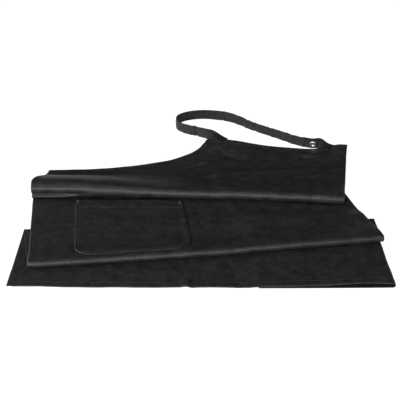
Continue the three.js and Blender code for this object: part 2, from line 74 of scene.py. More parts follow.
# x as shares of SHOWN_WIDTH and y of PANEL_LENGTH at the left and the right, bow, way it faces
LINES = [
    dict(name="hem", left=(-0.501, -0.002), right=(0.4995, -0.004), bow=-0.003, facing=-1),
    dict(name="back_fold", left=(-0.506, 0.185), right=(0.507, 0.219), bow=0, facing=1),
    dict(name="low_roll", left=(-0.459, 0.05), right=(0.512, 0.1346), bow=-0.004, facing=-1),
    dict(name="hidden_fold", left=(-0.521, 0.353), right=(0.418, 0.415), bow=0, facing=1),
    dict(name="high_roll", left=(-0.5135, 0.303), right=(0.432, 0.2747), bow=0.012, facing=-1),
    dict(name="bib_top", left=(-0.449, 0.614), right=(0.4967, 0.529), bow=-0.012, facing=1),
]
# Heights of the round folds at the left and the right, how far across the left one fades, and how
# far behind each fold the cloth settles, at the left and the right
ROLLS = {
    "low_roll": dict(left=0.011, right=0.014, fade=1.0, settle=(0.062, 0.072)),
    "high_roll": dict(left=0.031, right=0.016, fade=0.3, settle=(0.096, 0.084)),
}
# Where the cloth stands off what lies below it: place as shares of a layer, reach and height
RISES = [
    dict(layer=0, across=0.94, along=0, wide=0.062, long=0.052, height=0.006),
    dict(layer=4, across=0.5615, along=1, wide=0.085, long=0.060, height=0.0135),
    dict(layer=4, across=0.985, along=1, wide=0.041, long=0.052, height=0.0114),
]
LAYER_STARTS = [0, 0.207, 0.315, 0.598, 0.68, 1]
POCKET_LAYER = 2
BIB_LAYER = 4
BIB_TOP = 5
# A layer drops to the surface behind the fold below it, and climbs over the folded-under cloth
DROP_START = 0.008
DROP_RUN = 0.040
UNDER_RAMP = 0.018


def clamp(value):
    return min(1.0, max(0.0, value))


def smooth(value):
    value = clamp(value)
    return value * value * (3 - 2 * value)


def mix(start, end, share):
    return start + (end - start) * share


def bump(distance, width):
    return math.exp(-((distance / width) ** 2))


def line_point(index, across):
    """Level point on a line across the panel, from 0 at the left edge to 1 at the right fold."""
    line = LINES[index]
    bow = line["bow"] * 4 * across * (1 - across)
    x = mix(line["left"][0], line["right"][0], across) * SHOWN_WIDTH
    y = (mix(line["left"][1], line["right"][1], across) + bow) * PANEL_LENGTH
    return Vector((x, y, 0))


def line_facing(index, across):
    run = (line_point(index, across + 0.01) - line_point(index, across - 0.01)).normalized()
    return Vector((-run.y, run.x, 0)) * LINES[index]["facing"]


BIB_LEFT_LENGTH = (line_point(BIB_TOP, 0) - line_point(BIB_LAYER, 0)).length
ARMHOLE_START = 1 - ARMHOLE_HEIGHT / BIB_LEFT_LENGTH


def layer_length(layer):
    return (LAYER_STARTS[layer + 1] - LAYER_STARTS[layer]) * PANEL_LENGTH


def armhole_share(layer, along):
    return clamp((along - ARMHOLE_START) / (1 - ARMHOLE_START)) if layer == BIB_LAYER else 0.0


def left_edge(layer, along):
    """Left edge of the cloth as a share across; the armhole is a quarter of an ellipse."""
    return BIB_CORNER * (1 - (1 - armhole_share(layer, along)) ** ARMHOLE_ROUND) ** (1 / ARMHOLE_ROUND)


def under_edge(layer, along):
    """Edge of the cloth that is folded under, as a share across."""
    width = UNDER_WIDTH + SIDE_TAPER * mix(LAYER_STARTS[layer], LAYER_STARTS[layer + 1], along)
    cut = math.sqrt(1 - (1 - armhole_share(layer, along)) ** 2)
    return 1 - mix(width, UNDER_TIP, cut) / SHOWN_WIDTH


def two_ply(layer, x, y):
    """1 over the folded-under cloth of a layer and 0 to the left of it."""
    start, end = line_point(layer, 0.5).y, line_point(layer + 1, 0.5).y
    along = clamp((y - start) / (end - start))
    edge = under_edge(layer, along)
    edge_x = mix(line_point(layer, edge).x, line_point(layer + 1, edge).x, along)
    return smooth((x - edge_x + UNDER_RAMP) / (UNDER_RAMP - 0.002))


def behind_fold(index, x, y):
    """1 where the cloth lies on the surface behind a fold, and 0 where it lies on the stack."""
    return smooth((y - line_point(index, clamp(x / SHOWN_WIDTH + 0.5)).y - DROP_START) / DROP_RUN)


def rest_height(layer, x, y):
    """Height of the middle of a layer's cloth where it lies, without rolls and rises."""
    if layer < 2:
        return CLOTH / 2 + PITCH * (two_ply(0, x, y) + layer)
    if layer == 3:
        return rest_height(2, x, y) + PITCH
    if layer == 2:
        stacked = rest_height(0, x, y) + PITCH * (2 + 2 * two_ply(2, x, y))
        fold = 1
    else:
        stacked = rest_height(2, x, y) + PITCH * (2 + 2 * two_ply(3, x, y))
        fold = 3
    floor = CLOTH / 2 + PITCH * two_ply(layer, x, y)
    return mix(stacked, floor, behind_fold(fold, x, y))


def fold_radius(index, across):
    """Radius of the middle of the cloth in a fold."""
    roll = ROLLS.get(LINES[index]["name"])
    if roll is None:
        return PITCH / 2
    return (mix(roll["right"], roll["left"], bump(across, roll["fade"])) - CLOTH) / 2


def rise_height(layer, across, along):
    height = 0.0
    for rise in RISES:
        if rise["layer"] == layer:
            sideways = (across - rise["across"]) * SHOWN_WIDTH
            lengthways = (along - rise["along"]) * layer_length(layer)
            height += rise["height"] * bump(sideways, rise["wide"]) * bump(lengthways, rise["long"])
    return height


# The high fold's left end is pressed in above a narrow lip. Turn round the fold as a share, and
# how far forward and up the cloth then is, in radii.
LIP_PROFILE = [
    (0.0, 0.0, 0.0),
    (0.16, 0.62, 0.04),
    (0.26, 0.97, 0.16),
    (0.33, 0.98, 0.38),
    (0.42, 0.66, 0.50),
    (0.50, 0.70, 0.68),
    (0.60, 1.00, 1.02),
    (0.72, 0.98, 1.42),
    (0.85, 0.62, 1.82),
    (1.0, 0.0, 2.0),
]
LIP_REACH = 0.13
LIP_END = LIP_REACH * 1.6


def lip_point(share):
    """Forward and up, in radii, on the pressed profile."""
    for low, high in zip(LIP_PROFILE, LIP_PROFILE[1:]):
        if share <= high[0]:
            part = smooth((share - low[0]) / (high[0] - low[0])) * 0.5
            part += 0.5 * (share - low[0]) / (high[0] - low[0])
            return mix(low[1], high[1], part), mix(low[2], high[2], part)
    return 0.0, 2.0


def fold_point(index, across, turn):
    """Point round a fold, from its lower side at turn 0 to its upper side at turn pi."""
    radius = fold_radius(index, across)
    facing = line_facing(index, across)
    centre = line_point(index, across) - facing * radius
    forward, up = math.sin(turn), 1 - math.cos(turn)
    if LINES[index]["name"] == "high_roll" and across < LIP_END:
        pressed = smooth((LIP_END - across) / LIP_REACH)
        lip = lip_point(turn / math.pi)
        forward, up = mix(forward, lip[0], pressed), mix(up, lip[1], pressed)
    point = centre + facing * (radius * forward)
    point.z = rest_height(index - 1, centre.x, centre.y) + radius * up
    return point


def plain_point(layer, across, along):
    """Middle of the cloth on a layer, before its wrinkles."""
    start = line_point(0, across) if layer == 0 else fold_point(layer, across, math.pi)
    last = layer == BIB_LAYER
    end = line_point(BIB_TOP, across) if last else fold_point(layer + 1, across, 0)
    start_z, start.z, end.z = start.z, 0, 0
    point = start.lerp(end, along)
    point.z = rest_height(layer, point.x, point.y) + rise_height(layer, across, along)
    roll = ROLLS.get(LINES[layer]["name"])
    if roll:
        gone = (point.xy - start.xy).length / mix(*roll["settle"], across)
        point.z += (start_z - rest_height(layer, start.x, start.y)) * (1 - smooth(gone))
    return point


# Creases pressed or crumpled into the cloth: both ends as shares across and along a layer, then
# height and width. Below zero they are valleys.
CREASES = [
    dict(layer=0, ends=((0.4645, 0.0), (0.4675, 0.11)), height=0.0040, width=0.006),
    dict(layer=0, ends=((0.4795, 0.0), (0.4775, 0.08)), height=-0.0016, width=0.005),
    dict(layer=0, ends=((0.60, 0.0), (0.565, 0.62)), height=-0.0009, width=0.005),
    dict(layer=0, ends=((0.905, 0.22), (0.915, 0.62)), height=0.0012, width=0.010),
    dict(layer=0, ends=((0.925, 0.08), (0.94, 0.10)), height=-0.0012, width=0.014),
    dict(layer=2, ends=((0.06, 0.12), (0.07, 0.80)), height=0.0010, width=0.016),
    dict(layer=2, ends=((0.62, 0.30), (0.93, 0.66)), height=0.0010, width=0.022),
    dict(layer=2, ends=((0.72, 0.55), (0.88, 0.80)), height=-0.0007, width=0.016),
    dict(layer=4, ends=((0.171, 0.283), (0.298, 0.03)), height=0.0014, width=0.014),
    dict(layer=4, ends=((0.475, 0.553), (0.540, 0.655)), height=0.0042, width=0.006),
    dict(layer=4, ends=((0.56, 0.782), (0.671, 0.717)), height=-0.0034, width=0.010),
    dict(layer=4, ends=((0.844, 0.845), (0.924, 0.871)), height=0.0042, width=0.012),
    dict(layer=4, ends=((0.851, 0.835), (0.87, 0.80)), height=-0.0036, width=0.008),
    dict(layer=4, ends=((0.492, 0.905), (0.505, 0.93)), height=0.0030, width=0.006),
]
HEM_DEPTH = 0.015
SIDE_HEM = 0.010
ARMHOLE_HEM = 0.011
BIB_HEM = 0.015
SEAM_INSET = 0.0018
PUCKER_HEIGHT = 0.00018
PUCKER_LENGTH = 0.006
# Soft waves: their height and length across and up the cloth, the noise's seed and middle
WAVES = [
    dict(height=0.0013, across=0.085, up=0.070, seed=3.1, middle=0.5),
    dict(height=0.0006, across=0.034, up=0.030, seed=9.4, middle=0.5),
    dict(height=0.00022, across=0.012, up=0.011, seed=5.2, middle=0.0),
]


def pattern_place(layer, across, along):
    """Metres across from the left side and up from the hem, on the cloth laid flat."""
    up = mix(LAYER_STARTS[layer], LAYER_STARTS[layer + 1], along) * PANEL_LENGTH
    return across * SHOWN_WIDTH, up


def armhole_distance(across, up):
    """Distance from the armhole's edge, on the cloth."""
    x = max(0.0, across * SHOWN_WIDTH / ARMHOLE_WIDTH)
    y = max(0.0, (PANEL_LENGTH - up) / ARMHOLE_HEIGHT)
    reach = max(1e-6, (x**ARMHOLE_ROUND + y**ARMHOLE_ROUND) ** (1 / ARMHOLE_ROUND))
    power = ARMHOLE_ROUND - 1
    slope = math.hypot((x / reach) ** power / ARMHOLE_WIDTH, (y / reach) ** power / ARMHOLE_HEIGHT)
    return (reach - 1) / slope


def hem_band(distance, depth):
    """Height of a turned and stitched hem: a thicker band with a groove where it is stitched."""
    band = 0.0007 * smooth((depth - distance + 0.0006) / 0.0016) * smooth(distance / 0.002 + 0.25)
    return band - 0.0004 * bump(distance - (depth - SEAM_INSET), 0.0011)


def hem_height(layer, across, along):
    """Height of the hems along the panel's bottom, top, left side and armhole."""
    side, up = pattern_place(layer, across, along)
    height = hem_band(up, HEM_DEPTH)
    height = max(height, hem_band(PANEL_LENGTH - up, BIB_HEM), key=abs)
    if up < PANEL_LENGTH - ARMHOLE_HEIGHT:
        height = max(height, hem_band(side, SIDE_HEM), key=abs)
    edge = armhole_distance(across, up)
    if 0 <= edge < 0.03:
        height = max(height, hem_band(edge, ARMHOLE_HEM), key=abs)
    return height


def crease_height(layer, across, along):
    height = 0.0
    length = layer_length(layer)
    here = Vector((across * SHOWN_WIDTH, along * length))
    for crease in CREASES:
        if crease["layer"] != layer:
            continue
        first, second = [Vector((end[0] * SHOWN_WIDTH, end[1] * length)) for end in crease["ends"]]
        run = second - first
        part = clamp((here - first).dot(run) / run.length_squared)
        taper = 0.35 + 0.65 * math.sin(math.pi * part)
        away = (here - first - run * part).length
        height += crease["height"] * taper * bump(away, crease["width"])
    return height


def shown_share(layer, across, along, point):
    """1 where a layer lies open to view, 0 where the layer over it presses on it."""
    if layer == 4:
        return 1.0
    if layer in (1, 3):
        return 0.0
    line = line_point(2 if layer == 0 else 4, across)
    return smooth((line.y - point.y + 0.006) / 0.020)


def cloth_height(layer, across, along, point):
    """Hems, creases and soft waves of the cloth, out of its face."""
    side, up = pattern_place(layer, across, along)
    waves = 0.0
    for wave in WAVES:
        place = Vector((side / wave["across"], up / wave["up"], wave["seed"]))
        waves += wave["height"] * (wave["middle"] + noise.noise(place))
    puckers = noise.noise(Vector((side / PUCKER_LENGTH, up / PUCKER_LENGTH, 1.7)))
    hem = hem_height(layer, across, along)
    shown = shown_share(layer, across, along, point)
    height = shown * (waves + crease_height(layer, across, along)) + hem * (0.55 + 0.45 * shown)
    height += PUCKER_HEIGHT * puckers * min(1.0, abs(hem) / 0.0004)
    return max(height, -0.8 * (point.z - rest_height(layer, point.x, point.y)) - 0.0002)


def plain_face(layer, across, along):
    """Direction out of the plain cloth's face."""
    step = 0.003
    right = plain_point(layer, across + step, along) - plain_point(layer, across - step, along)
    ahead = plain_point(layer, across, min(1, along + step))
    ahead -= plain_point(layer, across, max(0, along - step))
    return right.cross(ahead).normalized()


def cloth_place(layer, across, along):
    """Point on the middle of the finished cloth, and the direction out of its face."""
    point = plain_point(layer, across, along)
    face = plain_face(layer, across, along)
    return point + face * cloth_height(layer, across, along, point), face


# Rows of the panel's grid: how far from an edge a hem has rows, how far apart they are on each
# layer, the least distance between two, and the turn from row to row round the armhole's rim
EDGE_STEPS = [0.0, 0.0015, 0.0048, 0.0090, 0.0120, 0.0134, 0.0148, 0.0165, 0.0200]
ROW_STEPS = [0.0047, 0.018, 0.0039, 0.013, 0.0042]
CLOSEST_ROWS = 0.0022
RIM_TURN = 0.035
ROLL_TURNS = 18
BACK_TURNS = 5


def panel_rows():
    """Rows as a layer, a share along it and, in a fold, the turn round it."""
    made = []
    for layer in range(5):
        length = layer_length(layer)
        places = set()
        if layer == 0:
            places.update(place / length for place in EDGE_STEPS)
        if layer == BIB_LAYER:
            places.update(1 - place / length for place in EDGE_STEPS)
            rim = 1 - ARMHOLE_START
            places.update(ARMHOLE_START + rim * (1 - math.cos(RIM_TURN * k)) for k in range(3, 26))
        count = round(length / ROW_STEPS[layer])
        for k in range(count + 1):
            place = k / count
            gap = min([abs(place - other) for other in places] or [1]) * length
            if gap > CLOSEST_ROWS or k in (0, count):
                places.add(place)
        for along in sorted(places):
            made.append((layer, along, None))
        if layer < BIB_LAYER:
            rolled = LINES[layer + 1]["name"] in ROLLS
            turns = ROLL_TURNS if rolled else BACK_TURNS
            made.extend((layer, 1.0, math.pi * k / turns) for k in range(1, turns))
    return made


# Columns of the grid: at the left hem, over the panel, on the folded-under cloth and round the fold
SIDE_STEPS = [0.0, 0.0013, 0.0040, 0.0070, 0.0085, 0.0100, 0.0118]
LEFT_COLUMNS = 86
UNDER_COLUMNS = 38
WRAP_COLUMNS = 5
STEP_WIDTH = 0.026


def row_shares(layer, along):
    """Shares across for a row: crowded at the left hem and where it steps up on two plies."""
    left = left_edge(layer, along)
    under = under_edge(layer, along)
    hem = SIDE_STEPS[-1] / SHOWN_WIDTH
    ramp = max(under - STEP_WIDTH / SHOWN_WIDTH, mix(left, under, 0.8))
    hem = min(hem, (ramp - left) * 0.3)
    shares = [left + hem * step / SIDE_STEPS[-1] for step in SIDE_STEPS]
    shares += [mix(left + hem, ramp, k / LEFT_COLUMNS) for k in range(1, LEFT_COLUMNS + 1)]
    shares += [mix(ramp, under, k / 5) for k in range(1, 5)]
    shares += [mix(under, 1, k / UNDER_COLUMNS) for k in range(UNDER_COLUMNS + 1)]
    return shares


def grid_face(grid, row, column):
    before, after = grid[max(0, row - 1)][column], grid[min(len(grid) - 1, row + 1)][column]
    line = grid[row]
    right = line[min(len(line) - 1, column + 1)] - line[max(0, column - 1)]
    return right.normalized(), right.cross(after - before).normalized()


def roll_wrinkle(index, across, turn):
    """Small creases that a round fold gets where the cloth is pushed together."""
    wave = noise.noise(Vector((across * SHOWN_WIDTH / 0.028, turn * 0.7, index * 3.3)))
    return 0.0006 * max(-0.6, wave)


def fold_height(layer, across, turn, point):
    """Height of the waves and creases on the round fold after a layer. A flat fold has none."""
    if LINES[layer + 1]["name"] not in ROLLS:
        return 0.0
    arc = math.sin(turn / 2) ** 2
    before = cloth_height(layer, across, 1.0, point)
    after = cloth_height(layer + 1, across, 0.0, point)
    return (mix(before, after, arc) + roll_wrinkle(layer + 1, across, turn)) * arc * arc


def panel_points():
    """Rows of points over the face, round the fold at the right and back under, with their UVs."""
    rows = panel_rows()
    shares = [row_shares(layer, along) for layer, along, turn in rows]
    plain = []
    for (layer, along, turn), row in zip(rows, shares):
        if turn is None:
            plain.append([plain_point(layer, across, along) for across in row])
        else:
            plain.append([fold_point(layer + 1, across, turn) for across in row])
    points, uvs = [], []
    first_under = len(shares[0]) - UNDER_COLUMNS - 1
    for index, (layer, along, turn) in enumerate(rows):
        line, uv_line, places = [], [], []
        up = pattern_place(layer, 0, along)[1]
        if turn is not None:
            up += fold_radius(layer + 1, 0.5) * turn
        for column, across in enumerate(shares[index]):
            side, face = grid_face(plain, index, column)
            if layer == BIB_LAYER and along > ARMHOLE_START - 0.03:
                face = plain_face(layer, across, along)
            point = plain[index][column]
            raised = 0.0
            if turn is not None:
                height = fold_height(layer, across, turn, point)
            else:
                height = cloth_height(layer, across, along, point)
                if layer == 0:
                    raised = rise_height(0, across, along)
            places.append((point, face, raised))
            line.append(point + face * height)
            uv_line.append((across * SHOWN_WIDTH, up))
        half = (PITCH + max(0, height + raised)) / 2
        centre = line[-1] - face * half
        for k in range(1, WRAP_COLUMNS + 1):
            turned = math.pi * k / (WRAP_COLUMNS + 1)
            line.append(centre + (face * math.cos(turned) + side * math.sin(turned)) * half)
            uv_line.append((SHOWN_WIDTH + half * turned, up))
        for column in range(len(shares[index]) - 1, first_under - 1, -1):
            point, face, raised = places[column]
            line.append(point - face * (PITCH + raised))
            uv_line.append((SHOWN_WIDTH * (2 - shares[index][column]) + 0.003, up))
        points.append(line)
        uvs.append(uv_line)
    return points, uvs


def new_mesh_piece(name, bm, smooth_faces=True):
    """A finished bmesh as an object of the scene."""
    mesh = bpy.data.meshes.new(name)
    bm.to_mesh(mesh)
    bm.free()
    for polygon in mesh.polygons:
        polygon.use_smooth = smooth_faces
    piece = bpy.data.objects.new(name, mesh)
    bpy.context.scene.collection.objects.link(piece)
    return piece


def grid_piece(name, points, uvs, thickness):
    """Sheet of cloth on a grid of points, with its thickness, and its UV map in metres."""
    rows, columns = len(points), len(points[0])
    bm = bmesh.new()
    bmesh.ops.create_grid(bm, x_segments=columns - 1, y_segments=rows - 1, size=0.5)
    bm.verts.ensure_lookup_table()
    for index, vertex in enumerate(bm.verts):
        vertex.co = points[index // columns][index % columns] + HEM_LINE
    layer = bm.loops.layers.uv.new("cloth")
    for face in bm.faces:
        for loop in face.loops:
            loop[layer].uv = uvs[loop.vert.index // columns][loop.vert.index % columns]
    piece = new_mesh_piece(name, bm)
    solid = piece.modifiers.new("thickness", "SOLIDIFY")
    solid.thickness = thickness
    solid.offset = 0
    return piece


class Wire:
    """An output of a shader node, with which sums can be written as on numbers."""

    def __init__(self, tree, socket=None):
        self.tree = tree
        self.socket = socket

    def node(self, kind, settings=None, inputs=None, output=0):
        made = self.tree.nodes.new(kind)
        for name, value in (settings or {}).items():
            if name == "stops":
                ramp = made.color_ramp.elements
                while len(ramp) < len(value):
                    ramp.new(0.5)
                for stop, (place, color) in zip(ramp, value):
                    stop.position = place
                    stop.color = (*color, 1)
            else:
                setattr(made, name, value)
        for name, value in (inputs or {}).items():
            if isinstance(value, Wire):
                self.tree.links.new(value.socket, made.inputs[name])
            else:
                made.inputs[name].default_value = value
        return Wire(self.tree, made.outputs[output])

    def math(self, operation, first, second=0.0):
        return self.node("ShaderNodeMath", {"operation": operation}, {0: first, 1: second})

    def __add__(self, other):
        return self.math("ADD", self, other)

    def __sub__(self, other):
        return self.math("SUBTRACT", self, other)

    def __rsub__(self, other):
        return self.math("SUBTRACT", other, self)

    def __mul__(self, other):
        return self.math("MULTIPLY", self, other)

    __radd__ = __add__
    __rmul__ = __mul__


def shader(name, **constants):
    """A material with one Principled shader, its constants set, and a Wire to start from."""
    material = bpy.data.materials.new(name)
    material.use_nodes = True
    tree = material.node_tree
    principled = tree.nodes["Principled BSDF"]
    for socket, value in constants.items():
        principled.inputs[socket.replace("_", " ")].default_value = value
    return material, principled, Wire(tree)


def plug(wire, principled, socket):
    wire.tree.links.new(wire.socket, principled.inputs[socket])


def twill_material(name, color):
    """Piece-dyed cotton twill: diagonal ribs, thick and thin threads, lint and faint mottling."""
    material, principled, start = shader(name, Roughness=0.5)
    principled.inputs["Specular IOR Level"].default_value = 0.15
    uv = start.node("ShaderNodeUVMap", {"uv_map": "cloth"})
    side = start.node("ShaderNodeSeparateXYZ", inputs={0: uv})
    up = Wire(start.tree, side.socket.node.outputs[1])
    rib = start.math("SINE", (side + up) * 5200)
    thread = start.math("SINE", (side - up * 0.35) * 9000)
    lint = start.node("ShaderNodeTexNoise", inputs={"Vector": uv, "Scale": 900.0, "Detail": 2.0})
    mottle = start.node("ShaderNodeTexNoise", inputs={"Vector": uv, "Scale": 45.0, "Detail": 4.0})
    weft = start.node("ShaderNodeMapping", inputs={"Vector": uv, "Scale": (60.0, 420.0, 1.0)})
    warp = start.node("ShaderNodeMapping", inputs={"Vector": uv, "Scale": (420.0, 60.0, 1.0)})
    slubs = start.node("ShaderNodeTexNoise", inputs={"Vector": weft, "Scale": 1.0, "Detail": 1.0})
    slubs += start.node("ShaderNodeTexNoise", inputs={"Vector": warp, "Scale": 1.0, "Detail": 1.0})
    crumple = start.node(
        "ShaderNodeTexNoise",
        inputs={"Vector": uv, "Scale": 70.0, "Detail": 5.0, "Roughness": 0.62, "Distortion": 0.4},
    )
    shade = start.node(
        "ShaderNodeMapRange",
        inputs={0: mottle * 0.4 + slubs * 0.3, 1: 0.38, 2: 0.62, 3: 0.0, 4: 1.0},
    )
    darker = [channel * 0.45 for channel in color]
    lighter = [channel * 1.6 for channel in color]
    dyed = start.node(
        "ShaderNodeMix",
        {"data_type": "RGBA"},
        {0: shade, 6: (*darker, 1), 7: (*lighter, 1)},
        output=2,
    )
    plug(dyed, principled, "Base Color")
    plug(0.38 + lint * 0.22, principled, "Roughness")
    weave = rib * 0.5 + thread * 0.25 + lint * 0.8 + slubs * 1.5
    folds = start.node(
        "ShaderNodeBump",
        inputs={"Strength": 0.6, "Distance": 0.0020, "Height": crumple},
    )
    woven = start.node(
        "ShaderNodeBump",
        inputs={"Strength": 0.5, "Distance": 0.00012, "Height": weave, "Normal": folds},
    )
    plug(woven, principled, "Normal")
    return material


cloth_material = twill_material("black_twill", (0.0064, 0.0064, 0.0071))

panel_grid, panel_uvs = panel_points()
panel = grid_piece("folded_panel", panel_grid, panel_uvs, CLOTH)
panel.data.materials.append(cloth_material)
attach(panel, "root")
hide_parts("apron_panel")

# Hem stitching: black cotton thread, one row along every hem and two round the armhole and along
# the top of the bib, in lockstitch of about seven stitches to the inch.
STITCH_PITCH = 0.0036
STITCH_LENGTH = 0.0029
THREAD_RADIUS = 0.00028
STITCH_STEP = 0.0009
ARMHOLE_EDGE_ROW = 0.0022
BIB_EDGE_ROW = 0.0024
AXIS_TURN = Matrix.Rotation(math.pi / 2, 4, "Y")


def add_stitch(bm, point, along, face, half_size, raised):
    """One stitch, a slim ellipsoid that lies along the seam on the cloth's face."""
    across = face.cross(along).normalized()
    out = along.cross(across)
    turn = Matrix((along, across, out)).transposed().to_4x4()
    size = Matrix.Diagonal((*half_size, 1))
    move = Matrix.Translation(point + HEM_LINE + out * raised)
    bmesh.ops.create_uvsphere(
        bm, u_segments=6, v_segments=4, radius=1, matrix=move @ turn @ size @ AXIS_TURN
    )


def sew(bm, places):
    """Stitches at even distances along (point, face) places on cloth."""
    half_size = (STITCH_LENGTH / 2, THREAD_RADIUS, THREAD_RADIUS)
    spent, last = 0.0, None
    for point, face in places:
        if last is not None:
            run = point - last
            spent += run.length
            if spent >= STITCH_PITCH:
                spent -= STITCH_PITCH
                add_stitch(bm, point, run.normalized(), face, half_size, THREAD_RADIUS * 0.35)
        last = point


def on_face(layer, across, along, out=CLOTH / 2):
    point, face = cloth_place(layer, across, along)
    return point + face * out, face


def side_row(layer, start, end, inset):
    """Places up the left side of a layer."""
    count = round(layer_length(layer) * (end - start) / STITCH_STEP)
    across = inset / SHOWN_WIDTH
    return [on_face(layer, across, mix(start, end, k / count)) for k in range(count + 1)]


def across_row(layer, from_edge, start, end):
    """Places across a layer at a distance from the hem, or from the bib's top below zero."""
    length = layer_length(layer)
    along = from_edge / length if from_edge > 0 else 1 + from_edge / length
    count = round(SHOWN_WIDTH * (end - start) / STITCH_STEP)
    return [on_face(layer, mix(start, end, k / count), along) for k in range(count + 1)]


def armhole_row(inset):
    """Places round the left armhole, inset from its edge."""
    made = []
    for k in range(401):
        angle = math.pi / 2 * k / 400
        x = (ARMHOLE_WIDTH + inset) * math.sin(angle) ** (2 / ARMHOLE_ROUND)
        below_top = (ARMHOLE_HEIGHT + inset) * max(0.0, math.cos(angle)) ** (2 / ARMHOLE_ROUND)
        along = 1 - below_top / BIB_LEFT_LENGTH
        made.append(on_face(BIB_LAYER, x / SHOWN_WIDTH, along))
    return made


thread_material, thread_shader, start = shader("black_thread", Roughness=0.6)
thread_shader.inputs["Specular IOR Level"].default_value = 0.1
lint = start.node(
    "ShaderNodeTexNoise",
    inputs={
        "Vector": start.node("ShaderNodeTexCoord", output="Object"),
        "Scale": 700.0,
    },
)
thread_color = start.node(
    "ShaderNodeMix",
    {"data_type": "RGBA"},
    {0: lint, 6: (0.013, 0.013, 0.014, 1), 7: (0.031, 0.031, 0.033, 1)},
    output=2,
)
plug(thread_color, thread_shader, "Base Color")

bm = bmesh.new()
sew(bm, across_row(0, HEM_DEPTH - SEAM_INSET, 0.004, 0.995))
sew(bm, side_row(0, 0.01, 0.55, SIDE_HEM - SEAM_INSET))
sew(bm, side_row(POCKET_LAYER, 0.02, 0.92, SIDE_HEM - SEAM_INSET))
sew(bm, side_row(BIB_LAYER, 0.02, ARMHOLE_START - 0.01, SIDE_HEM - SEAM_INSET))
sew(bm, armhole_row(ARMHOLE_HEM - SEAM_INSET))
sew(bm, armhole_row(ARMHOLE_EDGE_ROW))
sew(bm, across_row(BIB_LAYER, SEAM_INSET - BIB_HEM, BIB_CORNER + 0.012, 0.995))
sew(bm, across_row(BIB_LAYER, -BIB_EDGE_ROW, BIB_CORNER + 0.012, 0.995))
hem_stitches = new_mesh_piece("hem_stitches", bm)
hem_stitches.data.materials.append(thread_material)
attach(hem_stitches, "root")

# Patch pocket: the same twill, a deep hem along its slanting mouth, sewn on the middle layer with
# two rows down each side and round its two lower corners, and tacked at both ends of the mouth.
POCKET_WIDTH = 0.196
POCKET_LEFT = 0.2075
POCKET_RIGHT = 0.1825
POCKET_CORNER = 0.034
POCKET_HEM = 0.028
POCKET_CLOTH = 0.0007
POCKET_LIE = 0.0010
POCKET_START = (0.1265, 0.0297)
POCKET_TURN = 0.118
POCKET_STITCH_INSETS = (0.0016, 0.0074)
TACK_INSET = 0.0045
TACK_WIDTH = 0.003
TACK_STEP = 0.0008
TACK_STITCHES = 16


def cloth_shares(layer, x, y):
    """Shares across and along a layer for a level point, by Newton steps."""
    across, along = 0.3, 0.4
    for _ in range(6):
        here = plain_point(layer, across, along)
        by_across = (plain_point(layer, across + 0.01, along) - here) / 0.01
        by_along = (plain_point(layer, across, along + 0.01) - here) / 0.01
        miss_x, miss_y = x - here.x, y - here.y
        area = by_across.x * by_along.y - by_across.y * by_along.x
        across += (miss_x * by_along.y - miss_y * by_along.x) / area
        along += (by_across.x * miss_y - by_across.y * miss_x) / area
    return across, along


pocket_corner = plain_point(POCKET_LAYER, *POCKET_START)


def pocket_place(x, y):
    """Point on the cloth under a place on the pocket, and the direction out of its face."""
    level_x = pocket_corner.x + x * math.cos(POCKET_TURN) - y * math.sin(POCKET_TURN)
    level_y = pocket_corner.y + x * math.sin(POCKET_TURN) + y * math.cos(POCKET_TURN)
    return cloth_place(POCKET_LAYER, *cloth_shares(POCKET_LAYER, level_x, level_y))


def pocket_span(y_share):
    """Left and right side of the pocket at a share of its height, and the heights there."""
    left_y, right_y = y_share * POCKET_LEFT, y_share * POCKET_RIGHT
    spans = []
    for y in (left_y, right_y):
        gone = clamp((POCKET_CORNER - y) / POCKET_CORNER)
        spans.append(POCKET_CORNER * (1 - math.sqrt(1 - gone * gone)))
    return spans[0], POCKET_WIDTH - spans[1], left_y, right_y


def pocket_edge_distance(x, y):
    """Distance in from the sewn outline: its two sides, bottom and round corners."""
    inner_x = min(x, POCKET_WIDTH - x)
    if inner_x < POCKET_CORNER and y < POCKET_CORNER:
        return POCKET_CORNER - math.hypot(POCKET_CORNER - inner_x, POCKET_CORNER - y)
    return min(inner_x, y)


def pocket_mouth(x):
    """Height of the slanting mouth over a place along the pocket's bottom."""
    return mix(POCKET_LEFT, POCKET_RIGHT, x / POCKET_WIDTH)


def pocket_height(x, y):
    """Height of the pocket's cloth: hems, slack in its middle, a mouth that stands off a little."""
    edge = pocket_edge_distance(x, y)
    below_mouth = pocket_mouth(x) - y
    height = hem_band(edge, 0.0085) * 0.6
    height = max(height, hem_band(below_mouth, POCKET_HEM), key=abs)
    slack = smooth(edge / 0.03)
    height += 0.0009 * slack * (0.6 + noise.noise(Vector((x / 0.06, y / 0.05, 21.0))))
    height += 0.0011 * bump(below_mouth, 0.02) * math.sin(math.pi * clamp(x / POCKET_WIDTH))
    pull = noise.noise(Vector((x / 0.007, y / 0.007, 4.0))) * bump(edge - 0.006, 0.006)
    return height + 0.00022 * pull


POCKET_ROWS = [0, 0.02, 0.06, 0.12, 0.2, 0.32, 0.46, 0.62, 0.8, 1.0]
row_shares_up = [share * POCKET_CORNER / POCKET_LEFT for share in POCKET_ROWS]
row_shares_up += [mix(row_shares_up[-1], 0.845, k / 38) for k in range(1, 39)]
row_shares_up += [0.855, 0.862, 0.869, 0.878, 0.9, 0.925, 0.95, 0.97, 0.985, 0.993, 1.0]
column_steps = [0, 0.0012, 0.004, 0.0062, 0.0074, 0.0086, 0.0105]
column_shares = [step / POCKET_WIDTH for step in column_steps]
column_shares += [mix(column_shares[-1], 1 - column_shares[-1], k / 44) for k in range(1, 44)]
column_shares += [1 - step / POCKET_WIDTH for step in reversed(column_steps)]

